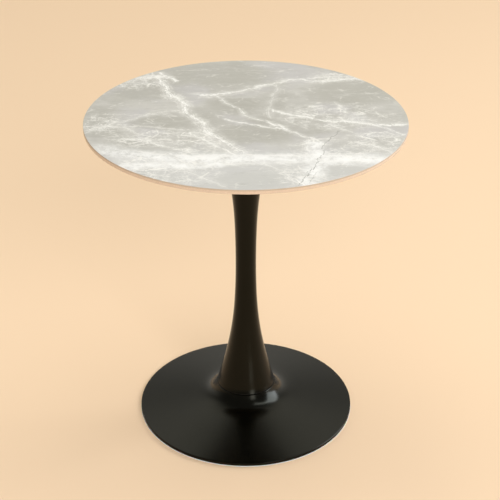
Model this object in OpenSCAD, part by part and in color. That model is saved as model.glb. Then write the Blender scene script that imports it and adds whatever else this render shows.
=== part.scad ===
// Round pedestal table: a stone slab on a trumpet column and a weighted spun-steel base,
// all drawn together by one tie rod. Millimetres, +Z up, origin on the floor under the centre.

/* [Table] */
// Height of the slab's upper face above the floor
table_h = 745; // [700:5:780]
// Diameter of the slab
top_d = 700; // [600:10:900]
// Thickness of the slab
top_t = 10; // [9:1:14]
// Width of the eased edge round the slab's upper and lower faces
top_ease = 1; // [0.5:0.5:2]

/* [Column] */
// Wall of the column and of the base cover
sheet_t = 1.5; // [1:0.5:2]
// Outer radius of the column where it meets the base
column_foot_r = 68.5; // [66:0.5:72]
// Outer radius of the column's waist
column_waist_r = 23.5; // [20:0.5:30]
// Outer radius of the column under the top plate
column_head_r = 70; // [66:1:74]

/* [Base] */
// Diameter of the base cover at its rim
base_d = 505; // [480:5:560]
// Height of the cover's upper face at its rim
rim_z = 9.5; // [9:0.5:12]
// Rise of the cover's cone from the rim to the hub
cone_rise = 28; // [24:1:34]
// Height of the hub's seat, which carries the column
seat_z = 68; // [64:1:74]
// How far out the hub's curve spreads before it is lost in the cone
hub_flare = 12; // [9:1:16]

/* [Top plate] */
// Diameter of the steel plate under the slab
plate_d = 260; // [240:10:320]
// Thickness of the steel plate
plate_t = 4; // [3:1:6]
// How far in from the plate's edge the screws stand
screw_inset = 20; // [16:1:26]
// Number of screws that hold the slab
screw_count = 4; // [4:1:8]

/* [Hidden] */
$fn = 144;

// The stack under the slab, from the top down
slab_z = table_h - top_t;
mesh_t = 0.5;
mesh_margin = 6;
gasket_t = 1.5;
mesh_z = slab_z - mesh_t;
gasket_z = mesh_z - gasket_t;
plate_z = gasket_z - plate_t;

// Slab screws (M6) and their brass inserts
screw_circle_r = plate_d / 2 - screw_inset;
screw_r = 3;
screw_hole_r = 3.4;
screw_pitch = 1;
screw_head_r = 5.25;
screw_head_h = 3.3;
screw_reach = 5.5;
insert_r = 4.4;
insert_h = 7;
insert_hole_r = 4.5;
washer_r = 6.5;
washer_t = 1.2;

// Tie rod (M12) and what it pulls on
rod_r = 6;
rod_thread_pitch = 1.75;
rod_thread_turns = 20;
rod_bore_r = 6.05;
rod_hole_r = 6.6;
rod_foot_z = 4.5;
boss_r = 11;
boss_h = 24;
rod_head_gap = 2.5;

// Column: heights of the stations as a share of its length, and how far each has opened
// from the waist (0) to the foot or the head (1)
seal_t = 2;
column_z0 = seat_z + seal_t;
column_z1 = plate_z;
foot_stations = [[0, 1], [0.015, 0.925], [0.046, 0.805], [0.084, 0.655], [0.136, 0.467],
                 [0.212, 0.256], [0.303, 0.096], [0.409, 0.016]];
head_stations = [[0.515, 0], [0.622, 0.032], [0.698, 0.097], [0.766, 0.209], [0.842, 0.398],
                 [0.925, 0.677], [1, 1]];
steps_per_span = 4;

// Ring under the plate, just inside the column's head
head_ring_r = column_head_r - 4.8;
head_ring_wall = 4;
head_ring_h = 8;

// Base cover
base_r = base_d / 2;
rim_foot_z = 2.5;
rim_corner_r = 2;
rim_corner_z = rim_z - 1.8;
hub_r = column_foot_r + 1.5;
hub_corner = 1.5;
hub_edge = 0.5;
spigot_r = column_foot_r - 4;
spigot_h = 5;
spigot_edge = 1;
hub_plate_t = 4;
ring_inner_r = base_r - 5.5;
lip_clearance = 0.2;

// Ballast
ballast_r = 205;
ballast_z0 = 5;
ballast_z1 = 14;
web_z0 = 22;
web_z1 = 30;
web_r = 62;
web_skirt_r = 76;
pocket_r = 54;
ballast_edge = 2;
spacer_r = 30;
spacer_wall = 4;

// Nut and washers under the ballast
big_washer_r = 22;
big_washer_t = 3;
lock_washer_r = 10.5;
lock_washer_t = 2.5;
nut_flats = 18;
nut_h = 10;

// ---- curves -------------------------------------------------------------------------

// Catmull-Rom between b and c at t from 0 to 1
function blend(a, b, c, d, t) =
    0.5 * (2 * b + (c - a) * t + (2 * a - 5 * b + 4 * c - d) * t * t
           + (3 * b - a - 3 * c + d) * t * t * t);

// A smooth line through every point of a list
function smooth_line(p, n) =
    let (last = len(p) - 1)
    concat([for (i = [0 : last - 1], k = [0 : n - 1])
                blend(p[max(i - 1, 0)], p[i], p[i + 1], p[min(i + 2, last)], k / n)],
           [p[last]]);

// The same line moved sideways by t, to its left; with flat_ends its ends keep their height
function inset_line(p, t, flat_ends = false) =
    let (last = len(p) - 1)
    [for (i = [0 : last])
        let (d = p[min(i + 1, last)] - p[max(i - 1, 0)], k = norm(d),
             rise = flat_ends && (i == 0 || i == last) ? 0 : t * d[0] / k)
        [p[i][0] - t * d[1] / k, p[i][1] + rise]];

// Quarter circle of radius r about [x, y], from angle a0 to angle a1
function arc_line(x, y, r, a0, a1, n = 6) =
    [for (k = [0 : n]) let (a = a0 + (a1 - a0) * k / n) [x + r * cos(a), y + r * sin(a)]];

function reversed(p) = [for (i = [len(p) - 1 : -1 : 0]) p[i]];

// V-grooves up a shank, from height z, as an outline's points
function thread_line(r, pitch, turns, z) =
    [for (k = [0 : turns - 1], half = [0, 1])
        [half == 0 ? r - 0.61 * pitch : r, z + (k + 0.5 * half) * pitch]];

function column_radius(share, open) =
    share > 0.5 ? column_waist_r + open * (column_head_r - column_waist_r)
                : column_waist_r + open * (column_foot_r - column_waist_r);

column_stations = [for (s = concat(foot_stations, head_stations))
    [column_radius(s[0], s[1]), column_z0 + s[0] * (column_z1 - column_z0)]];
column_line = smooth_line(column_stations, steps_per_span);

// Height of the cover's upper face at radius r: a cone, and the hub that grows out of it
hub_rise = seat_z - hub_corner - rim_z - cone_rise;
function cover_z(r) =
    rim_z + cone_rise * (base_r - r) / (base_r - hub_r)
    + hub_rise * exp((hub_r - r) / hub_flare);

// Radii at which the cover is drawn: close together on the hub, wide apart on the cone
cover_steps = 26;
cover_line = [for (k = [0 : cover_steps])
    let (u = k / cover_steps, r = hub_r + (base_r - rim_corner_r - hub_r) * pow(u, 2.2))
    [r, cover_z(r)]];

// ---- modules that repeat -------------------------------------------------------------

module ring(r_out, r_in, z0, z1) {
    difference() {
        translate([0, 0, z0]) cylinder(r = r_out, h = z1 - z0);
        translate([0, 0, z0 - 1]) cylinder(r = r_in, h = z1 - z0 + 2);
    }
}

module at_screws() {
    for (k = [0 : screw_count - 1])
        rotate([0, 0, 45 + k * 360 / screw_count])
            translate([screw_circle_r, 0, 0])
                children();
}

// ---- the slab and what is fixed to it --------------------------------------------------

module table_top() {
    r = top_d / 2;
    color("lightgrey")
    difference() {
        rotate_extrude()
            polygon([[0, slab_z], [r - top_ease, slab_z], [r, slab_z + top_ease],
                     [r, table_h - top_ease], [r - top_ease, table_h], [0, table_h]]);
        at_screws()
            translate([0, 0, slab_z - 1])
                cylinder(r = insert_hole_r, h = insert_h + 1.2);
    }
}

module backing_mesh() {
    color("tan")
    difference() {
        translate([0, 0, mesh_z]) cylinder(r = top_d / 2 - mesh_margin, h = mesh_t);
        at_screws()
            translate([0, 0, mesh_z - 1])
                cylinder(r = insert_hole_r, h = mesh_t + 2);
    }
}

module threaded_inserts() {
    groove = 0.5;
    color("goldenrod")
    at_screws()
        rotate_extrude()
            polygon([[screw_r + 0.05, mesh_z], [insert_r, mesh_z],
                     [insert_r, slab_z + 2], [insert_r - groove, slab_z + 2.5],
                     [insert_r - groove, slab_z + 3.5], [insert_r, slab_z + 4],
                     [insert_r, slab_z + insert_h - groove],
                     [insert_r - groove, slab_z + insert_h],
                     [screw_r + 0.05, slab_z + insert_h]]);
}

module top_gasket() {
    color("dimgray")
    difference() {
        translate([0, 0, gasket_z]) cylinder(r = plate_d / 2 - 1, h = gasket_t);
        at_screws()
            translate([0, 0, gasket_z - 1])
                cylinder(r = screw_hole_r, h = gasket_t + 2);
    }
}

module top_plate() {
    r = plate_d / 2;
    ease = 0.8;
    color("#26221e")
    difference() {
        rotate_extrude()
            polygon([[0, plate_z], [r - ease, plate_z], [r, plate_z + ease],
                     [r, gasket_z - ease], [r - ease, gasket_z], [0, gasket_z]]);
        at_screws()
            translate([0, 0, plate_z - 1])
                cylinder(r = screw_hole_r, h = plate_t + 2);
    }
}

module top_screws() {
    foot = plate_z - washer_t;
    thread_z = mesh_z - 0.5;
    turns = floor(screw_reach / screw_pitch) + 1;
    tip = thread_z + turns * screw_pitch;
    color("silver")
    at_screws()
        difference() {
            rotate_extrude()
                polygon(concat([[0, foot - screw_head_h]],
                               [[screw_head_r * 0.45, foot - screw_head_h],
                                [screw_head_r * 0.8, foot - screw_head_h * 0.72],
                                [screw_head_r, foot - screw_head_h * 0.2],
                                [screw_head_r, foot], [screw_r, foot]],
                               thread_line(screw_r, screw_pitch, turns, thread_z),
                               [[screw_r - 0.6, tip + 0.4], [0, tip + 0.4]]));
            translate([0, 0, foot - screw_head_h - 1])
                cylinder(r = 2.3, h = 3, $fn = 6);
        }
}

module top_washers() {
    color("silver")
    at_screws() ring(washer_r, screw_hole_r, plate_z - washer_t, plate_z);
}

module column_locating_ring() {
    color("#26221e")
        ring(head_ring_r, head_ring_r - head_ring_wall, plate_z - head_ring_h, plate_z);
}

module rod_boss() {
    lead = 1;
    z = plate_z - boss_h;
    color("gray")
    rotate_extrude()
        polygon([[rod_bore_r + lead, z], [boss_r - lead, z], [boss_r, z + lead],
                 [boss_r, plate_z], [rod_bore_r, plate_z], [rod_bore_r, z + lead]]);
}

// ---- the column -------------------------------------------------------------------------

module column() {
    color("#1d1a17")
    rotate_extrude()
        polygon(concat(column_line, reversed(inset_line(column_line, sheet_t, true))));
}

module column_seal() {
    color("black") ring(column_foot_r - 1, spigot_r + 0.5, seat_z, column_z0);
}

// ---- the base ---------------------------------------------------------------------------

// The cover's outline: lip, rim corner, cone and hub, seat, spigot and rod hole, then back
// along the inside
module base_cover() {
    spigot_z = seat_z + spigot_h;
    rim_arc = arc_line(base_r - rim_corner_r, rim_corner_z, rim_corner_r, 0, 80);
    outside = concat([[base_r, rim_foot_z]], rim_arc, reversed(cover_line));
    seat = [[hub_r - hub_edge, seat_z - hub_edge], [hub_r - hub_corner, seat_z],
            [spigot_r, seat_z], [spigot_r, spigot_z - spigot_edge],
            [spigot_r - spigot_edge, spigot_z], [rod_hole_r, spigot_z]];
    under_spigot = [[rod_hole_r, spigot_z - sheet_t],
                    [spigot_r - sheet_t, spigot_z - sheet_t],
                    [spigot_r - sheet_t, seat_z - sheet_t],
                    [hub_r - sheet_t - 2 * hub_edge, seat_z - sheet_t]];
    inside = reversed(inset_line(reversed(cover_line), sheet_t));
    under_rim = [[base_r - sheet_t, rim_corner_z - hub_edge], [base_r - sheet_t, rim_foot_z]];
    color("#1d1a17")
    rotate_extrude()
        polygon(concat(outside, seat, under_spigot, inside, under_rim));
}

module hub_plate() {
    top = seat_z + spigot_h - sheet_t;
    color("gray")
        ring(spigot_r - sheet_t - lip_clearance, rod_hole_r, top - hub_plate_t, top);
}

module spacer_tube() {
    top = seat_z + spigot_h - sheet_t - hub_plate_t;
    color("gray") ring(spacer_r, spacer_r - spacer_wall, web_z1, top);
}

module ballast() {
    color("#33302d")
    rotate_extrude()
        polygon([[rod_hole_r, web_z0], [pocket_r - ballast_edge, web_z0],
                 [pocket_r, web_z0 - ballast_edge], [pocket_r, ballast_z0 + 1],
                 [pocket_r + 1, ballast_z0], [ballast_r - ballast_edge, ballast_z0],
                 [ballast_r, ballast_z0 + ballast_edge], [ballast_r, ballast_z1 - ballast_edge],
                 [ballast_r - ballast_edge, ballast_z1], [web_skirt_r, ballast_z1],
                 [web_r, web_z1 - ballast_edge], [web_r - ballast_edge, web_z1],
                 [rod_hole_r, web_z1]]);
}

module tie_rod() {
    head_z = plate_z - rod_head_gap;
    chamfer = 1.2;
    length = rod_thread_pitch * rod_thread_turns;
    color("silver")
    rotate_extrude()
        polygon(concat([[0, rod_foot_z], [rod_r - chamfer, rod_foot_z]],
                       thread_line(rod_r, rod_thread_pitch, rod_thread_turns,
                                   rod_foot_z + chamfer),
                       thread_line(rod_r, rod_thread_pitch, rod_thread_turns,
                                   head_z - chamfer - length),
                       [[rod_r - chamfer, head_z], [0, head_z]]));
}

module base_washer() {
    color("silver") ring(big_washer_r, rod_hole_r, web_z0 - big_washer_t, web_z0);
}

module lock_washer() {
    z1 = web_z0 - big_washer_t;
    z0 = z1 - lock_washer_t;
    color("silver")
    difference() {
        ring(lock_washer_r, rod_hole_r, z0, z1);
        translate([lock_washer_r, 0, (z0 + z1) / 2])
            rotate([25, 0, 0])
                cube([2 * lock_washer_r, 1, 3 * lock_washer_t], center = true);
    }
}

module base_nut() {
    z1 = web_z0 - big_washer_t - lock_washer_t;
    z0 = z1 - nut_h;
    corner_r = nut_flats / 2 / cos(30);
    color("silver")
    difference() {
        intersection() {
            translate([0, 0, z0]) cylinder(r = corner_r, h = nut_h, $fn = 6);
            rotate_extrude()
                polygon([[0, z0], [nut_flats / 2 - 0.3, z0], [corner_r + 0.1, z0 + 0.9],
                         [corner_r + 0.1, z1 - 0.9], [nut_flats / 2 - 0.3, z1], [0, z1]]);
        }
        translate([0, 0, z0 - 1]) cylinder(r = rod_bore_r, h = nut_h + 2);
    }
}

// A soft strip that the cover's lip stands on, with an upstand inside the lip
module floor_ring() {
    r_out = base_r + 0.5;
    r_lip = base_r - sheet_t - lip_clearance;
    color("gainsboro")
    rotate_extrude()
        polygon([[ring_inner_r, 0], [r_out - 0.6, 0], [r_out, 0.6], [r_out, rim_foot_z],
                 [r_lip, rim_foot_z], [r_lip, rim_z - 3.5], [r_lip - 0.6, rim_z - 3],
                 [ring_inner_r, rim_z - 3]]);
}

table_top();
backing_mesh();
threaded_inserts();
top_gasket();
top_plate();
column_locating_ring();
rod_boss();
top_screws();
top_washers();
column();
column_seal();
base_cover();
hub_plate();
spacer_tube();
ballast();
tie_rod();
base_washer();
lock_washer();
base_nut();
floor_ring();
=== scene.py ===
"""Round pedestal table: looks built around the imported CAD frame. Metres, +Z up, front -Y."""

import math

import bmesh
import bpy
from mathutils import Matrix, Vector


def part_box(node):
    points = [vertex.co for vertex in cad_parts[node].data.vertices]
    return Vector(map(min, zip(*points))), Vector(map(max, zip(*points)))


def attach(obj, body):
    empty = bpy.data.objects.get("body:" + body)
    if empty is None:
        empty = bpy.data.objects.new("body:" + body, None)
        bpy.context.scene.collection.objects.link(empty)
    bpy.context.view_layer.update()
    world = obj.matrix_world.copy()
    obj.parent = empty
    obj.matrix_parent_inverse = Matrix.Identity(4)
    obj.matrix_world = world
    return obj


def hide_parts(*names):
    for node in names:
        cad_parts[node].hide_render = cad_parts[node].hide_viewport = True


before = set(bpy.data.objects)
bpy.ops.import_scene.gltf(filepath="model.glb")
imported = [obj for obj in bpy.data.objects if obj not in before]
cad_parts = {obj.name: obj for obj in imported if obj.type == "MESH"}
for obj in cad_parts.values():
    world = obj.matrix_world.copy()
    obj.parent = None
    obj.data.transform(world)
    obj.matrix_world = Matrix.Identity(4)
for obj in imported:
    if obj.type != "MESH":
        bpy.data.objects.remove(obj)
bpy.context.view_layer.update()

MM = 0.001
ROUND_STEPS = 192      # segments round the axis of every turned piece
SHARP_ANGLE = math.radians(28)
ON_AXIS = 1e-6         # a smaller radius is a point on the axis
SAME = 1e-5            # two CAD measures that are closer than this are one

# Measures of the pieces that the frame's boxes don't give
SLAB_EASE = 1.0 * MM                        # round on the slab's edges
PRINT_DEPTH = 0.35 * MM                     # how far the printed face reaches over the edge
TOP_BAND_START, TOP_BAND_FULL = 4.5 * MM, 2.2 * MM  # darker band near the top of the edge: its depths below the top
INSERT_R = 4.4 * MM                         # outer radius of the brass inserts
HOLE_SIDE, HOLE_END = 0.1 * MM, 0.2 * MM    # room round an insert and above it
DRILL_RUN, DRILL_SIDES = 5 * MM, 48         # how far below the inserts a drill starts
STRIP_WIDTH, STRIP_LIP = 6.0 * MM, 2.2 * MM  # whole floor strip, and its part under the cover
STRIP_NOSE, STRIP_ROUND, STRIP_BEVEL = 0.9 * MM, 0.5 * MM, 0.6 * MM
SEAL_WIDTH = 2.5 * MM


# ---- node helpers ----------------------------------------------------------------------


class Nodes:
    """A node tree, with one short method per kind of node that is used here. Sizes are in
    millimetres. Noise lies mostly between 0.3 and 0.7, so most fades run between such values."""

    def __init__(self, tree):
        self.tree = tree

    def put(self, value, socket):
        """Links a socket, or sets a plain value. A plain colour is (r, g, b)."""
        if isinstance(value, bpy.types.NodeSocket):
            self.tree.links.new(value, socket)
        elif socket.type == "RGBA":
            socket.default_value = (*value, 1.0)
        else:
            socket.default_value = value

    def add(self, kind, inputs=(), **settings):
        node = self.tree.nodes.new(kind)
        for name, value in settings.items():
            setattr(node, name, value)
        for key, value in dict(inputs).items():
            self.put(value, node.inputs[key])
        return node

    def math(self, operation, *values):
        node = self.add("ShaderNodeMath", dict(enumerate(values)), operation=operation)
        return node.outputs[0]

    def plane(self, x, y, a, b, c):
        """a * x + b * y + c"""
        return self.math("MULTIPLY_ADD", x, a, self.math("MULTIPLY_ADD", y, b, c))

    def vector(self, operation, a, b):
        node = self.add("ShaderNodeVectorMath", {0: a, 1: b}, operation=operation)
        return node.outputs["Vector"]

    def scaled(self, vector, factor):
        inputs = {0: vector, "Scale": factor}
        return self.add("ShaderNodeVectorMath", inputs, operation="SCALE").outputs["Vector"]

    def stretched(self, where, scale, turn=0.0):
        """where, scaled along each axis and turned about Z by turn radians."""
        inputs = {"Vector": where, "Rotation": (0, 0, turn), "Scale": scale}
        return self.add("ShaderNodeMapping", inputs).outputs[0]

    def split(self, vector):
        return self.add("ShaderNodeSeparateXYZ", {0: vector}).outputs

    def fade(self, value, at_zero, at_one, low=0.0, high=1.0):
        """low where value is at_zero, high where it is at_one, smooth between."""
        inputs = {"Value": value, "From Min": at_zero, "From Max": at_one,
                  "To Min": low, "To Max": high}
        node = self.add("ShaderNodeMapRange", inputs, interpolation_type="SMOOTHSTEP")
        return node.outputs["Result"]

    def mix(self, factor, a, b):
        inputs = {"Factor": factor, 6: a, 7: b}
        return self.add("ShaderNodeMix", inputs, data_type="RGBA").outputs[2]

    def glaze(self, under, over, mask, amount):
        """The colour over, laid on under where mask is 1, and amount thick."""
        return self.mix(self.math("MULTIPLY", mask, amount), under, over)

    def noise(self, where, size, detail=3.0, roughness=0.5, output="Fac"):
        """Noise whose blotches are about size across."""
        inputs = {"Vector": where, "Scale": 1 / size, "Detail": detail, "Roughness": roughness}
        return self.add("ShaderNodeTexNoise", inputs).outputs[output]

    def nudged(self, where, colour, shift):
        """where, moved along each axis by up to half of shift, as a colour says."""
        move = self.vector("SUBTRACT", colour, (0.5, 0.5, 0.5))
        return self.vector("ADD", where, self.scaled(move, shift))

    def warped(self, where, size, shift, detail=4, roughness=0.6):
        """where, bent smoothly in blotches of about size."""
        return self.nudged(where, self.noise(where, size, detail, roughness, "Color"), shift)

    def fractured(self, where, cell, shift):
        """where, moved by a different amount in each cell."""
        cells = self.add("ShaderNodeTexVoronoi", {"Vector": where, "Scale": 1 / cell})
        return self.nudged(where, cells.outputs["Color"], shift)

    def bump(self, height, depth, strength=1.0, normal=None):
        """A relief that is depth deep where height runs from 0 to 1, on top of normal."""
        inputs = {"Height": height, "Distance": depth * MM, "Strength": strength}
        if normal is not None:
            inputs["Normal"] = normal
        return self.add("ShaderNodeBump", inputs).outputs["Normal"]


class Shader(Nodes):
    """A material with one Principled shader."""

    def __init__(self, name):
        self.material = bpy.data.materials.new(name)
        self.material.use_nodes = True
        super().__init__(self.material.node_tree)

    def set(self, **values):
        """Values or links for the Principled sockets; an underscore stands for a space."""
        surface = self.tree.nodes["Principled BSDF"]
        for name, value in values.items():
            self.put(value, surface.inputs[name.replace("_", " ")])
        return self.material

    def place(self):
        """Object coordinates in millimetres."""
        return self.scaled(self.add("ShaderNodeTexCoord").outputs["Object"], 1 / MM)


def from_srgb(*shown):
    """A linear colour from three 0..255 display values."""
    def one(c):
        c /= 255
        return c / 12.92 if c <= 0.04045 else ((c + 0.055) / 1.055) ** 2.4
    return tuple(one(c) for c in shown)


# ---- the stone --------------------------------------------------------------------------

GROUND_DARK, GROUND_LIGHT = from_srgb(181, 179, 171), from_srgb(199, 197, 191)
GROUND_COOL, GROUND_FRONT = from_srgb(194, 192, 192), from_srgb(208, 208, 205)
CALM_GREY = from_srgb(176, 174, 165)
LAYER_DARK, LAYER_LIGHT = from_srgb(168, 166, 157), from_srgb(214, 213, 208)
MILK, LACE_WHITE, THREAD_WHITE = (from_srgb(232, 231, 226), from_srgb(244, 242, 236),
                                  from_srgb(246, 245, 240))
HALO_GREY, CORE_WHITE = from_srgb(226, 224, 217), from_srgb(254, 253, 249)
BAND_WHITE, CRACK_GREY = from_srgb(251, 251, 249), from_srgb(132, 130, 122)
BODY_DARK, BODY_LIGHT = from_srgb(220, 198, 175), from_srgb(234, 215, 195)
TOP_BAND_TAN = from_srgb(168, 152, 130)
BODY_ROUGH = 0.7
ELSEWHERE = (900, 0, 0)     # a step to another part of the noise, so that it doesn't repeat

# A vein: how many strands lie in its half width, the least half width that counts for this, how
# far the strands sway, and how far its edge is torn, in half widths
STRANDS, FINEST, SWAY, TEAR = 1.4, 2.5, 6.0, 3.4

# Each vein is a drawn line in millimetres on the slab, seen from above with the front at
# the bottom: its points, its half width, the half width of its pale halo, and its strength.
VEINS = [
    # the long white vein from the back left to the front
    ([(-222, 262), (-192, 200), (-168, 130), (-140, 90), (-128, 25), (-98, -20), (-78, -75),
      (-45, -125), (5, -188)], 6.0, 26.0, 1.0),
    ([(-128, -75), (-100, -100), (-60, -150), (-20, -195)], 4.0, 24.0, 0.7),
    ([(-258, 228), (-210, 246), (-182, 240), (-160, 208)], 6.0, 24.0, 0.85),
    ([(-205, 275), (-180, 245), (-160, 212)], 4.0, 16.0, 0.8),
    # the one across the back
    ([(265, 240), (215, 226), (165, 214), (105, 224), (45, 190), (-10, 158), (-70, 134),
      (-125, 136)], 6.0, 20.0, 0.8),
    ([(265, 252), (205, 250), (140, 228)], 4.0, 20.0, 0.7),
    # its branches towards the front
    ([(-75, 138), (-45, 95), (-20, 60), (-5, 25), (45, -15), (85, -60), (125, -98),
      (165, -122)], 3.0, 13.0, 0.6),
    ([(48, -18), (70, -42), (90, -66)], 5.0, 14.0, 0.8),
    ([(-52, -2), (-10, -20), (40, -46), (88, -62)], 2.6, 9.0, 0.75),
    ([(72, 205), (68, 150), (56, 90), (54, 30), (58, -5)], 2.4, 14.0, 0.45),
    # the bright one at the right and its forks
    ([(56, 62), (75, 32), (120, 12), (160, -8), (240, -20), (300, -32), (352, -33)],
     4.0, 14.0, 1.0),
    ([(262, -22), (295, -48), (340, -88)], 2.5, 9.0, 0.7),
    ([(178, -22), (205, -58), (250, -82), (325, -96)], 2.0, 12.0, 0.45),
    ([(196, 95), (215, 40), (205, -10)], 2.0, 14.0, 0.4),
    ([(235, -125), (280, -158), (310, -195)], 3.0, 20.0, 0.6),
    # streaks at the left
    ([(-262, -36), (-200, -46), (-130, -60)], 2.2, 10.0, 0.65),
    ([(-345, -78), (-305, -48), (-250, -8), (-190, 30), (-135, 48)], 2.6, 18.0, 0.45),
    ([(-262, -38), (-235, -70), (-215, -115)], 2.0, 14.0, 0.5),
    ([(-262, -112), (-205, -118), (-165, -148), (-100, -172)], 3.0, 14.0, 0.75),
    # thin bright lines in the bands across the front
    ([(-235, -165), (-170, -186), (-60, -192), (60, -190), (200, -194), (285, -206)],
     2.6, 16.0, 0.75),
    ([(-262, -246), (-150, -228), (-40, -232), (70, -228), (150, -216), (262, -226)],
     2.4, 14.0, 0.6),
    ([(160, -118), (140, -112), (126, -130), (124, -165), (132, -195)], 3.0, 16.0, 0.6),
    ([(-30, -205), (60, -250), (95, -330)], 1.8, 12.0, 0.5),
    ([(-190, -215), (-120, -262), (-30, -345)], 1.8, 14.0, 0.5),
]

# Broad milky bands across the front: their points and half width
BANDS = [
    ([(-320, -150), (-200, -196), (-60, -208), (60, -206), (180, -208), (300, -214)], 40.0),
    ([(150, -120), (146, -160), (150, -205)], 34.0),
    ([(160, -205), (138, -262), (118, -335)], 34.0),
    ([(-262, -246), (-150, -240), (-40, -232)], 26.0),
]

# Dark hairline cracks near the front right
CRACKS = [
    ([(200, -58), (186, -92), (168, -128), (160, -170), (146, -215), (128, -268), (100, -335)],
     1.3, 0.62),
    ([(142, -262), (134, -292), (122, -322)], 1.0, 0.35),
]

# Calm, slightly darker grounds between the veins: centre and reach in millimetres
CALM = [
    ((-185, -22), (75, 38)), ((-305, -78), (50, 30)), ((245, 150), (120, 85)),
    ((-60, 262), (130, 80)), ((10, -80), (90, 50)), ((20, -310), (85, 45)),
    ((205, -262), (60, 34)), ((-225, 150), (75, 55)), ((-25, 70), (70, 60)),
]

# Places where fine white veining crowds together
BUSY = [
    ((-110, -120), (70, 75)), ((-215, -105), (80, 50)), ((190, 10), (130, 75)),
    ((270, -120), (70, 60)), ((150, -150), (60, 60)), ((-130, -215), (150, 45)),
    ((190, -205), (120, 40)), ((-255, 225), (80, 60)), ((215, 240), (80, 30)),
    ((-160, -270), (120, 60)), ((-310, -30), (50, 60)), ((110, -290), (60, 60)),
]


# Each line and patch below is worked out from two plain numbers, x and y, and joined to the
# running total at once, because Cycles keeps only a few dozen values of a shader at a time.


def line_field(s, x, y, points):
    """Distance off a smooth line through points in millimetres, signed, and 1 between its
    ends with a short fade at both."""
    start, end = Vector(points[0]), Vector(points[-1])
    along = end - start
    length = along.length
    c, n = along / length
    u = s.plane(x, y, c / length, n / length, -start.dot(along) / length**2)
    v = s.plane(x, y, -n, c, start.x * n - start.y * c + length / 2)

    centre = s.add("ShaderNodeFloatCurve", {"Value": u})
    curve = centre.mapping.curves[0]
    for k, point in enumerate(points):
        offset = Vector(point) - start
        at = (offset.dot(along) / length**2, 0.5 + along.cross(offset) / length**2)
        if k == 0 or k == len(points) - 1:
            curve.points[0 if k == 0 else -1].location = at
        else:
            curve.points.new(*at)
    centre.mapping.update()

    off = s.plane(centre.outputs[0], v, -length, 1.0, 0.0)
    ends = s.math("MULTIPLY", s.fade(u, -0.02, 0.06), s.fade(u, 1.02, 0.94))
    return off, ends


def line_mask(s, x, y, points, half_width, soft):
    """1 on a smooth line through points, 0 past half_width (both in millimetres)."""
    off, ends = line_field(s, x, y, points)
    core = s.fade(s.math("ABSOLUTE", off), half_width, half_width * (1 - soft))
    return s.math("MULTIPLY", core, ends)


def vein(s, x, y, wander, ragged, points, core_width, halo_width, strength):
    """A bundle of white threads that run along a line, over a pale torn halo."""
    off, ends = line_field(s, x, y, points)
    # the first point's x only gives each vein strands of its own
    across = s.plane(off, wander, STRANDS / max(core_width, FINEST), SWAY, points[0][0])
    strands = s.add("ShaderNodeTexNoise", {"W": across, "Scale": 1.0, "Detail": 3.0,
                                           "Roughness": 0.7}, noise_dimensions="1D")
    distance = s.math("ABSOLUTE", off)
    tear = TEAR * core_width
    torn_edge = s.plane(distance, ragged, 1.0, tear, -tear / 2)
    held = s.math("MULTIPLY", ends, strength)
    core = s.fade(torn_edge, core_width * 1.05, core_width * 0.3)
    halo = s.math("MULTIPLY", s.fade(distance, halo_width, 0.0), held)
    thread = s.fade(strands.outputs[0], 0.36, 0.56)
    bright = s.math("MULTIPLY", core, s.math("MULTIPLY", thread, held))
    fringe = s.math("MULTIPLY", halo, s.fade(strands.outputs[0], 0.48, 0.66))
    return bright, fringe, halo


def patches(s, x, y, places):
    """1 in the middle of each (centre, reach) ellipse, fading to 0 at its border."""
    total = 0.0
    for (cx, cy), (rx, ry) in places:
        across = s.math("MULTIPLY_ADD", x, 1 / rx, -cx / rx)
        up = s.math("MULTIPLY_ADD", y, 1 / ry, -cy / ry)
        square = s.math("MULTIPLY_ADD", across, across, s.math("MULTIPLY", up, up))
        total = s.math("MAXIMUM", total, s.fade(square, 1.3, 0.25))
    return total


def lace(s, where, nets):
    """A net of hairlines between cells: for each, their size, the lines' width and strength."""
    total = 0.0
    for size, width, strength in nets:
        cells = s.add("ShaderNodeTexVoronoi", {"Vector": where, "Scale": 1 / size},
                      feature="DISTANCE_TO_EDGE")
        lines = s.fade(cells.outputs["Distance"], width / size, 0.0)
        total = s.math("MAXIMUM", total, s.math("MULTIPLY", lines, strength))
    return total


def stone_ground(s, flat, bent, x, y):
    """Clouded grey, darker in the calm places and paler towards the front."""
    clouds = s.noise(bent, 110, 4, 0.6)
    ground = s.mix(s.fade(clouds, 0.34, 0.66), GROUND_DARK, GROUND_LIGHT)
    tint = s.noise(s.vector("ADD", flat, ELSEWHERE), 120, 2)
    ground = s.glaze(ground, GROUND_COOL, s.fade(tint, 0.48, 0.66), 0.7)
    ground = s.glaze(ground, CALM_GREY, patches(s, x, y, CALM), 0.8)
    return s.glaze(ground, GROUND_FRONT, s.fade(y, -110, -215), 0.7)


def bedding(s, bent, ground):
    """Faint layers over the ground, which run a little up to the right, and their mottle."""
    layers = s.stretched(bent, (0.28, 1.0, 1.0), -0.2)
    fine = s.noise(layers, 5, 5, 0.7)
    broad = s.noise(layers, 22, 5, 0.7)
    top = s.glaze(ground, LAYER_LIGHT, s.fade(fine, 0.50, 0.72), 0.3)
    top = s.glaze(top, LAYER_LIGHT, s.fade(broad, 0.52, 0.70), 0.35)
    top = s.glaze(top, LAYER_DARK, s.fade(broad, 0.46, 0.30), 0.35)
    return top, fine


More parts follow.
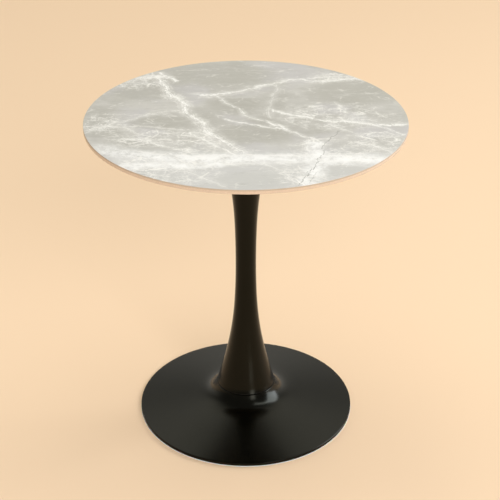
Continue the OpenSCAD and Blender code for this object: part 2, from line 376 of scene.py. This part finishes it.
def vein_masks(s, x, y, bent, torn):
    """All the veins' white cores, frayed fringes and pale halos, as three masks."""
    wander = s.noise(bent, 24, 4, 0.6)
    ragged = s.noise(torn, 15, 6, 0.75)
    masks = (0.0, 0.0, 0.0)
    for values in VEINS:
        one = vein(s, x, y, wander, ragged, *values)
        masks = [s.math("MAXIMUM", old, new) for old, new in zip(masks, one)]
    core, fringe, halo = masks
    worn = s.fade(s.noise(torn, 17, 5, 0.75), 0.30, 0.52)
    core = s.math("MULTIPLY", core, s.math("MULTIPLY_ADD", worn, 0.75, 0.25))
    return core, s.math("MULTIPLY", fringe, worn), halo


def lace_over(s, top, flat, broken, torn, halo):
    """Milk and hairlines over top: faint here and there, and thick in the busy places and
    beside the veins."""
    far_x, far_y, _ = s.split(s.warped(flat, 50, 60.0))
    busy = patches(s, far_x, far_y, BUSY)
    drift = s.noise(flat, 34, 4, 0.7)
    crowd = s.math("MULTIPLY", s.math("MAXIMUM", busy, s.math("MULTIPLY", halo, 0.8)),
                   s.fade(drift, 0.36, 0.58))
    some = s.math("MULTIPLY", s.fade(drift, 0.48, 0.64), 0.45)
    straight = s.fractured(s.warped(flat, 70, 14.0, 2, 0.5), 26, 5.0)
    straight = s.stretched(straight, (0.42, 1.0, 1.0), 0.62)
    wide_net = lace(s, straight, [(44, 1.5, 1.0), (26, 1.2, 0.8)])
    thin_net = lace(s, broken, [(22, 1.4, 1.0), (13, 1.2, 0.7)])
    milk = s.math("MULTIPLY", crowd, s.fade(s.noise(torn, 16, 6, 0.75), 0.42, 0.62))
    top = s.glaze(top, MILK, milk, 0.4)
    top = s.glaze(top, LACE_WHITE, wide_net, s.math("MAXIMUM", crowd, some))
    return s.glaze(top, THREAD_WHITE, s.math("MULTIPLY", thin_net, crowd), 0.5)


def stone_colour(s, flat):
    """The printed face: ground, bedding, lace, veins, milky bands and cracks, and a mottle."""
    bent = s.warped(s.warped(flat, 90, 16.0, 4, 0.55), 18, 7.0, 4, 0.65)
    broken = s.fractured(s.fractured(bent, 30, 8.0), 12, 3.5)
    torn = s.warped(broken, 6, 3.4, 4, 0.75)
    x, y, _ = s.split(torn)

    top, mottle = bedding(s, bent, stone_ground(s, flat, bent, x, y))
    core, fringe, halo = vein_masks(s, x, y, bent, torn)
    top = lace_over(s, top, flat, broken, torn, halo)
    top = s.glaze(top, HALO_GREY, halo, 0.3)
    top = s.glaze(top, THREAD_WHITE, fringe, 0.85)
    top = s.mix(core, top, CORE_WHITE)

    bands = 0.0
    for points, half_width in BANDS:
        bands = s.math("MAXIMUM", bands, line_mask(s, x, y, points, half_width, 1.0))
    cloudy = s.fade(s.noise(torn, 30, 6, 0.72), 0.30, 0.60)
    top = s.glaze(top, BAND_WHITE, s.math("MULTIPLY", bands, cloudy), 0.92)

    for points, half_width, strength in CRACKS:
        top = s.glaze(top, CRACK_GREY, line_mask(s, x, y, points, half_width, 0.6), strength)
    return top, mottle


def stone_material():
    s = Shader("sintered_stone")
    flat = s.place()
    top, mottle = stone_colour(s, flat)
    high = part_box("table_top")[1]
    printed = s.math("GREATER_THAN", s.split(flat)[2], (high.z - PRINT_DEPTH) / MM)
    pores = s.noise(flat, 2.2, 3, 0.6)
    smoother = s.math("SUBTRACT", s.math("MULTIPLY_ADD", mottle, 0.12, 0.32), BODY_ROUGH)
    return s.set(
        Base_Color=s.mix(printed, body_colour(s, flat), top),
        Roughness=s.math("MULTIPLY_ADD", printed, smoother, BODY_ROUGH),
        Normal=s.bump(pores, 0.02, 0.35),
        Specular_IOR_Level=0.35,
    )


def body_colour(s, where):
    """The plain body under the printed face: pale tan, speckled, and a darker tan towards the
    top of the edge."""
    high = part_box("table_top")[1]
    grain = s.noise(where, 1.6, 4, 0.7)
    body = s.mix(s.fade(grain, 0.3, 0.7), BODY_DARK, BODY_LIGHT)
    z = s.split(where)[2]
    top_band = s.fade(z, (high.z - TOP_BAND_START) / MM, (high.z - TOP_BAND_FULL) / MM)
    return s.glaze(body, TOP_BAND_TAN, top_band, 0.45)


# ---- the other materials ------------------------------------------------------------------


def black_coat():
    """Satin black powder coat: fine orange peel over a faint unevenness."""
    s = Shader("black_powder_coat")
    where = s.place()
    peel = s.noise(where, 1.3, 2)
    waves = s.noise(where, 9, 2)
    dust = s.noise(where, 45, 4, 0.6)
    tone = s.mix(s.fade(dust, 0.35, 0.7), (0.0008, 0.0007, 0.0003), (0.0016, 0.0014, 0.0007))
    rough = s.math("MULTIPLY_ADD", dust, 0.08, 0.165)
    normal = s.bump(waves, 0.03, 0.2, s.bump(peel, 0.008, 0.4))
    return s.set(Base_Color=tone, Roughness=rough, Normal=normal, Specular_IOR_Level=0.18,
                 Specular_Tint=(0.95, 0.96, 0.80))


def rubber():
    s = Shader("black_rubber")
    grain = s.noise(s.place(), 0.8, 3, 0.6)
    tone = s.mix(grain, (0.010, 0.010, 0.010), (0.022, 0.021, 0.020))
    return s.set(Base_Color=tone, Roughness=0.72, Normal=s.bump(grain, 0.03, 0.5))


def soft_pvc():
    """A milky white strip, scuffed in the last 1.6 mm above the floor."""
    s = Shader("soft_pvc")
    where = s.place()
    dirt = s.noise(where, 24, 5, 0.65)
    scuff = s.math("MULTIPLY", s.fade(s.split(where)[2], 1.6, 0.1), s.fade(dirt, 0.4, 0.65))
    tone = s.mix(s.fade(dirt, 0.3, 0.7), from_srgb(232, 236, 240), from_srgb(246, 249, 252))
    tone = s.glaze(tone, from_srgb(120, 112, 100), scuff, 0.6)
    return s.set(Base_Color=tone, Roughness=0.42, Subsurface_Weight=0.25,
                 Subsurface_Scale=2 * MM, Normal=s.bump(dirt, 0.05, 0.3))


def zinc():
    """Bright zinc plate: cloudy patches and turning marks."""
    s = Shader("zinc_plate")
    where = s.place()
    patch = s.noise(where, 6, 4, 0.6)
    tone = s.mix(s.fade(patch, 0.3, 0.7), from_srgb(176, 180, 184), from_srgb(206, 204, 192))
    marks = s.noise(s.stretched(where, (0.3, 0.3, 6.0)), 1.5, 2)
    rough = s.math("MULTIPLY_ADD", patch, 0.18, 0.24)
    return s.set(Base_Color=tone, Metallic=1.0, Roughness=rough, Normal=s.bump(marks, 0.01, 0.5))


def brass():
    s = Shader("turned_brass")
    patch = s.noise(s.place(), 3, 4, 0.6)
    tone = s.mix(patch, from_srgb(190, 150, 84), from_srgb(222, 188, 116))
    rough = s.math("MULTIPLY_ADD", patch, 0.2, 0.22)
    return s.set(Base_Color=tone, Metallic=1.0, Roughness=rough, Normal=s.bump(patch, 0.02, 0.3))


def cast_iron():
    """Sand-cast weight under a thin grey primer, with a little rust."""
    s = Shader("cast_iron")
    where = s.place()
    sand = s.noise(where, 1.3, 4, 0.75)
    pits = s.noise(where, 9, 5, 0.65)
    rust = s.fade(s.noise(where, 38, 5, 0.7), 0.52, 0.68)
    tone = s.mix(sand, (0.030, 0.029, 0.028), (0.062, 0.060, 0.057))
    tone = s.glaze(tone, (0.115, 0.048, 0.022), rust, 0.6)
    rough = s.math("MULTIPLY_ADD", rust, 0.2, 0.62)
    normal = s.bump(pits, 0.5, 0.4, s.bump(sand, 0.15, 0.6))
    return s.set(Base_Color=tone, Roughness=rough, Metallic=0.15, Normal=normal)


def mesh_backing():
    """Glass-fibre net bedded in dark grey resin: a woven grid on a mottled ground."""
    s = Shader("mesh_backing")
    where = s.place()
    x, y, _ = s.split(s.warped(where, 60, 5.0, 3, 0.5))
    pitch, thread = 5.0, 0.85

    def threads(along):
        turns = s.math("FRACT", s.math("DIVIDE", along, pitch))
        off = s.math("MULTIPLY", s.math("ABSOLUTE", s.math("SUBTRACT", turns, 0.5)), pitch)
        return s.fade(off, thread, thread * 0.25)

    net = s.math("MAXIMUM", threads(x), threads(y))
    resin = s.noise(where, 26, 5, 0.65)
    ground = s.mix(s.fade(resin, 0.3, 0.7), from_srgb(52, 49, 44), from_srgb(70, 66, 58))
    tone = s.glaze(ground, from_srgb(112, 107, 96), net, 0.6)
    rough = s.math("MULTIPLY_ADD", net, 0.25, 0.45)
    normal = s.bump(net, 0.3, 0.7, s.bump(resin, 0.3, 0.3))
    return s.set(Base_Color=tone, Roughness=rough, Normal=normal)


def backdrop_paint():
    return Shader("stage_backdrop").set(
        Base_Color=(0, 0, 0), Specular_IOR_Level=0.0, Roughness=1.0,
        Emission_Color=from_srgb(244, 236, 222), Emission_Strength=1.0)


def floor_paint():
    return Shader("stage_floor").set(
        Base_Color=from_srgb(251, 222, 189), Roughness=1.0, Specular_IOR_Level=0.0)


# ---- meshes ------------------------------------------------------------------------------


def turned(name, outline, material, closed=True):
    """A mesh turned about the Z axis from (radius, height) points."""
    turn = [2 * math.pi * k / ROUND_STEPS for k in range(ROUND_STEPS)]
    shape = bmesh.new()
    rings = []
    for radius, height in outline:
        if radius < ON_AXIS:
            ring = [(0, 0, height)]
        else:
            ring = [(radius * math.cos(a), radius * math.sin(a), height) for a in turn]
        rings.append([shape.verts.new(corner) for corner in ring])
    after = rings[1:] + rings[:1] if closed else rings[1:]
    for low, high in zip(rings, after):
        for k in range(ROUND_STEPS):
            n = (k + 1) % ROUND_STEPS
            corners = [low[k % len(low)], low[n % len(low)],
                       high[n % len(high)], high[k % len(high)]]
            corners = list(dict.fromkeys(corners))
            if len(corners) > 2:
                shape.faces.new(corners)
    bmesh.ops.recalc_face_normals(shape, faces=shape.faces)
    mesh = bpy.data.meshes.new(name)
    shape.to_mesh(mesh)
    shape.free()
    mesh.shade_smooth()
    mesh.set_sharp_from_angle(angle=SHARP_ANGLE)
    mesh.materials.append(material)
    return linked(name, mesh)


def linked(name, data):
    """A new object with this mesh, light or camera, in the scene."""
    thing = bpy.data.objects.new(name, data)
    bpy.context.scene.collection.objects.link(thing)
    return thing


def arc(x, z, radius, start, end, steps=6):
    """Points on an arc about (x, z), from start to end degrees."""
    angles = [math.radians(start + (end - start) * k / steps) for k in range(steps + 1)]
    return [(x + radius * math.cos(a), z + radius * math.sin(a)) for a in angles]


def wall_points(node, keep):
    """(radius, height) of a turned CAD node's corners on the faces that keep() picks by how far
    they look outwards and upwards, from the lowest up, and from the outside in at one height."""
    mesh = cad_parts[node].data
    found = set()
    for face in mesh.polygons:
        out = Vector((face.center.x, face.center.y, 0)).normalized()
        if keep(face.normal.dot(out), face.normal.z):
            for index in face.vertices:
                co = mesh.vertices[index].co
                found.add((round(math.hypot(co.x, co.y), 5), round(co.z, 5)))
    return sorted(found, key=lambda p: (p[1], -p[0]))


def smoothed(points, steps=3):
    """A Catmull-Rom line through points, with steps pieces between each two."""
    line = []
    for i in range(len(points) - 1):
        a, b = Vector(points[max(i - 1, 0)]), Vector(points[i])
        c, d = Vector(points[i + 1]), Vector(points[min(i + 2, len(points) - 1)])
        for k in range(steps):
            t = k / steps
            p = 0.5 * (2 * b + (c - a) * t + (2 * a - 5 * b + 4 * c - d) * t**2
                       + (3 * b - a - 3 * c + d) * t**3)
            line.append((p.x, p.y))
    return line + [tuple(points[-1])]


def finish_piece(piece, node):
    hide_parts(node)
    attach(piece, "root")
    return piece


# ---- pieces ------------------------------------------------------------------------------


def make_slab(material):
    low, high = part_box("table_top")
    radius, ease = high.x, SLAB_EASE
    # a ring half way out keeps the faces at the axis from being long and thin
    outline = [(0, low.z), (radius * 0.5, low.z)]
    outline += arc(radius - ease, low.z + ease, ease, -90, 0)
    outline += arc(radius - ease, high.z - ease, ease, 0, 90)
    outline += [(radius * 0.5, high.z), (0, high.z)]
    slab = turned("stone_slab", outline, material, closed=False)
    drill_insert_holes(slab)
    return finish_piece(slab, "table_top")


def drill_insert_holes(slab):
    """The four blind holes in the slab's underside, a little larger than the inserts."""
    low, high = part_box("threaded_inserts")
    radius = INSERT_R + HOLE_SIDE
    reach = high.x - INSERT_R
    top, bottom = high.z + HOLE_END, low.z - DRILL_RUN
    shape = bmesh.new()
    for x in (-reach, reach):
        for y in (-reach, reach):
            bmesh.ops.create_cone(shape, cap_ends=True, segments=DRILL_SIDES, radius1=radius,
                                  radius2=radius, depth=top - bottom,
                                  matrix=Matrix.Translation((x, y, (top + bottom) / 2)))
    mesh = bpy.data.meshes.new("drills")
    shape.to_mesh(mesh)
    shape.free()
    drills = linked("drills", mesh)
    cut = slab.modifiers.new("drill", "BOOLEAN")
    cut.operation, cut.object = "DIFFERENCE", drills
    bpy.context.view_layer.update()
    view = bpy.context.evaluated_depsgraph_get()
    whole = slab.data
    slab.data = bpy.data.meshes.new_from_object(slab.evaluated_get(view))
    slab.data.name = whole.name
    slab.modifiers.clear()
    bpy.data.meshes.remove(whole)
    bpy.data.objects.remove(drills)
    bpy.data.meshes.remove(mesh)
    slab.data.set_sharp_from_angle(angle=SHARP_ANGLE)


def make_column(material):
    outside = wall_points("column", lambda out, up: out > 0.3)
    inside = wall_points("column", lambda out, up: out < -0.3)
    column = turned("column_shell", outside + inside[::-1], material)
    return finish_piece(column, "column")


def make_base(material):
    base = turned("base_shell", base_outline(), material)
    return finish_piece(base, "base_cover")


def base_outline():
    """The cover's section: up the lip and the cone, which is smoothed, over the spigot that
    stands in the column, and back down the inner side from the rod hole to the lip."""
    _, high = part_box("base_cover")
    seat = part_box("column_seal")[0].z
    top = wall_points("base_cover", lambda out, up: up > 0.02 or out > 0.5)
    under = wall_points("base_cover", lambda out, up: up < -0.02 or out < -0.5)
    cone = [p for p in top if p[1] < seat - SAME]
    spigot = [p for p in top if p[1] >= seat - SAME]
    lip = [p for p in cone if abs(p[0] - high.x) < SAME]
    rise = [p for p in cone if abs(p[0] - high.x) >= SAME]
    return lip + smoothed(rise) + spigot + sorted(under, key=lambda p: (-p[1], p[0]))


def make_strip(material):
    _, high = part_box("floor_ring")
    outer = high.x
    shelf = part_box("base_cover")[0].z
    inner, leg = outer - STRIP_WIDTH, outer - STRIP_LIP
    nose, soft, bevel = STRIP_NOSE, STRIP_ROUND, STRIP_BEVEL
    outline = [(inner + soft, 0), (outer - nose, 0)]
    outline += arc(outer - nose, nose, nose, -90, 0)[1:]
    outline += [(outer, shelf - soft)]
    outline += arc(outer - soft, shelf - soft, soft, 0, 90)[1:]
    outline += [(leg, shelf), (leg, high.z - bevel), (leg - bevel, high.z),
                (inner + soft, high.z), (inner, high.z - soft), (inner, soft)]
    strip = turned("floor_strip", outline, material)
    return finish_piece(strip, "floor_ring")


def make_seal(material):
    low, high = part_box("column_seal")
    outer, middle, half = high.x, (low.z + high.z) / 2, (high.z - low.z) / 2
    inner = outer - SEAL_WIDTH
    outline = [(inner, low.z)] + arc(outer - half, middle, half, -90, 90, 10)
    outline += [(inner, high.z)]
    seal = turned("seam_gasket", outline, material)
    return finish_piece(seal, "column_seal")


# ---- stage -------------------------------------------------------------------------------

FLOOR_HALF = 15.0
BACKDROP_RADIUS, BACKDROP_LOW, BACKDROP_HIGH, BACKDROP_STEPS = 14.0, -1.0, 12.0, 96

# The camera, which was solved from the outlines of the slab and the base in the photo: its lens
# in millimetres on a 36 mm sensor, its place, and how many degrees it looks down
LENS, SENSOR, SHIFT_X, SIGHT = 96.5, 36, 0.0083, 100
CAMERA_PLACE, CAMERA_DOWN = (0, -2.6735, 1.8876), 28.75

# The dome: its brightness, and what it gains behind the table near the horizon, at about 27
# degrees and from 48 degrees up, with the tints of both
ROOM, WALL_LOW, WALL_MIDDLE, WALL_HIGH = 0.28, 0.62, 0.42, 1.55
ROOM_TINT, WALL_TINT = (1.0, 0.975, 0.93), (1.0, 0.96, 0.86)
GAP_DEPTH = 0.95       # how dark the gap in it is

# Rectangular lights: place, aim, size, power and tint, whether it lights surfaces and whether
# gloss reflects it. The cards are only reflected, and give the base and the column their glints.
LIGHTS = {
    "ceiling": ((0.2, 0.2, 5.5), (0.2, 0.2, 0), (5.0, 4.0), 30, (0.92, 0.965, 1.0), True, True),
    "window": ((4.6, 1.7, 3.4), (0, 0, 0.3), (2.2, 2.2), 70, (0.97, 0.985, 1.0), True, False),
    "front": ((1.6, -5.5, 3.6), (0, 0, 0.4), (4.0, 2.5), 200, (0.985, 0.985, 1.0), True, False),
    "window_card": ((2.95, 0.3, 1.25), (0, 0, 0.3), (2.1, 2.4), 150, (0.84, 0.90, 1.0),
                    False, True),
    "front_card": ((1.35, -3.0, 0.55), (0, 0, 0.4), (0.8, 1.1), 13, (1, 0.98, 0.95),
                   False, True),
    "high_card": ((2.4, -1.7, 2.6), (0, 0, 0), (2.6, 0.7), 26, (0.95, 0.98, 1.0), False, True),
}


def sheet(name, corners, faces, material):
    """A bare surface for the stage."""
    mesh = bpy.data.meshes.new(name)
    mesh.from_pydata(corners, [], faces)
    mesh.materials.append(material)
    return linked(name, mesh)


def make_floor():
    half = FLOOR_HALF
    corners = [(-half, -half, 0), (half, -half, 0), (half, half, 0), (-half, half, 0)]
    floor = sheet("floor", corners, [(0, 1, 2, 3)], floor_paint())


def make_backdrop():
    """A round wall beyond every camera, which neither lights the table nor shows in it."""
    steps = BACKDROP_STEPS
    turn = [2 * math.pi * k / steps for k in range(steps)]
    corners = [(BACKDROP_RADIUS * math.cos(a), BACKDROP_RADIUS * math.sin(a), z)
               for z in (BACKDROP_LOW, BACKDROP_HIGH) for a in turn]
    faces = [(k, (k + 1) % steps, steps + (k + 1) % steps, steps + k) for k in range(steps)]
    wall = sheet("backdrop", corners, faces, backdrop_paint())
    wall.visible_diffuse = wall.visible_glossy = wall.visible_shadow = False
    wall.visible_transmission = False


def add_camera():
    data = bpy.data.cameras.new("camera")
    data.sensor_width = SENSOR
    data.lens = LENS
    data.shift_x = SHIFT_X
    data.clip_end = SIGHT
    camera = linked("camera", data)
    camera.location = CAMERA_PLACE
    camera.rotation_euler = (math.radians(90 - CAMERA_DOWN), 0, 0)
    bpy.context.scene.camera = camera


def add_dome():
    """A dim room, brighter behind the table, and brightest high up."""
    world = bpy.data.worlds.new("studio")
    world.use_nodes = True
    s = Nodes(world.node_tree)
    # a direction of length 1, so z is the sine of its height above the horizon
    x, y, z = s.split(s.add("ShaderNodeTexCoord").outputs["Generated"])
    behind = s.fade(y, -0.3, 0.6)
    wall = s.fade(z, 0.48, 0.74, s.fade(z, 0.2, 0.45, WALL_LOW, WALL_MIDDLE), WALL_HIGH)
    bright = s.math("MULTIPLY_ADD", wall, behind, ROOM)
    # a dark gap straight behind, high up, which the front of the base mirrors
    middle = s.math("MULTIPLY", s.fade(s.math("ABSOLUTE", x), 0.13, 0.04), behind)
    gap = s.math("MULTIPLY_ADD", middle, s.fade(z, 0.45, 0.62, 0.0, -GAP_DEPTH), 1.0)
    sky = s.tree.nodes["Background"]
    s.put(s.mix(behind, ROOM_TINT, WALL_TINT), sky.inputs["Color"])
    s.put(s.math("MULTIPLY", bright, gap), sky.inputs["Strength"])
    bpy.context.scene.world = world


def add_lights():
    for name, (place, aim, size, power, tint, lit, seen) in LIGHTS.items():
        data = bpy.data.lights.new(name, "AREA")
        data.shape = "RECTANGLE"
        data.size, data.size_y = size
        data.energy = power
        data.color = tint
        light = linked(name, data)
        light.visible_camera = False
        light.visible_diffuse, light.visible_glossy = lit, seen
        light.location = place
        light.rotation_euler = (Vector(aim) - Vector(place)).to_track_quat("-Z", "Y").to_euler()


# ---- everything ---------------------------------------------------------------------------

stone, coat, gasket, pvc = stone_material(), black_coat(), rubber(), soft_pvc()
make_slab(stone)
make_column(coat)
make_base(coat)
make_strip(pvc)
make_seal(gasket)

plated, iron, net, turned_brass = zinc(), cast_iron(), mesh_backing(), brass()
CARRIED = {
    "backing_mesh": net,
    "threaded_inserts": turned_brass,
    "top_gasket": gasket,
    "top_plate": coat,
    "column_locating_ring": coat,
    "rod_boss": plated,
    "top_screws": plated,
    "top_washers": plated,
    "hub_plate": plated,
    "spacer_tube": plated,
    "ballast": iron,
    "tie_rod": plated,
    "base_washer": plated,
    "lock_washer": plated,
    "base_nut": plated,
}
for node, material in CARRIED.items():
    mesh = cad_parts[node].data
    for index in range(len(mesh.materials)):
        mesh.materials[index] = material

make_floor()
make_backdrop()
add_camera()
add_dome()
add_lights()
bpy.context.scene.view_settings.view_transform = "Standard"
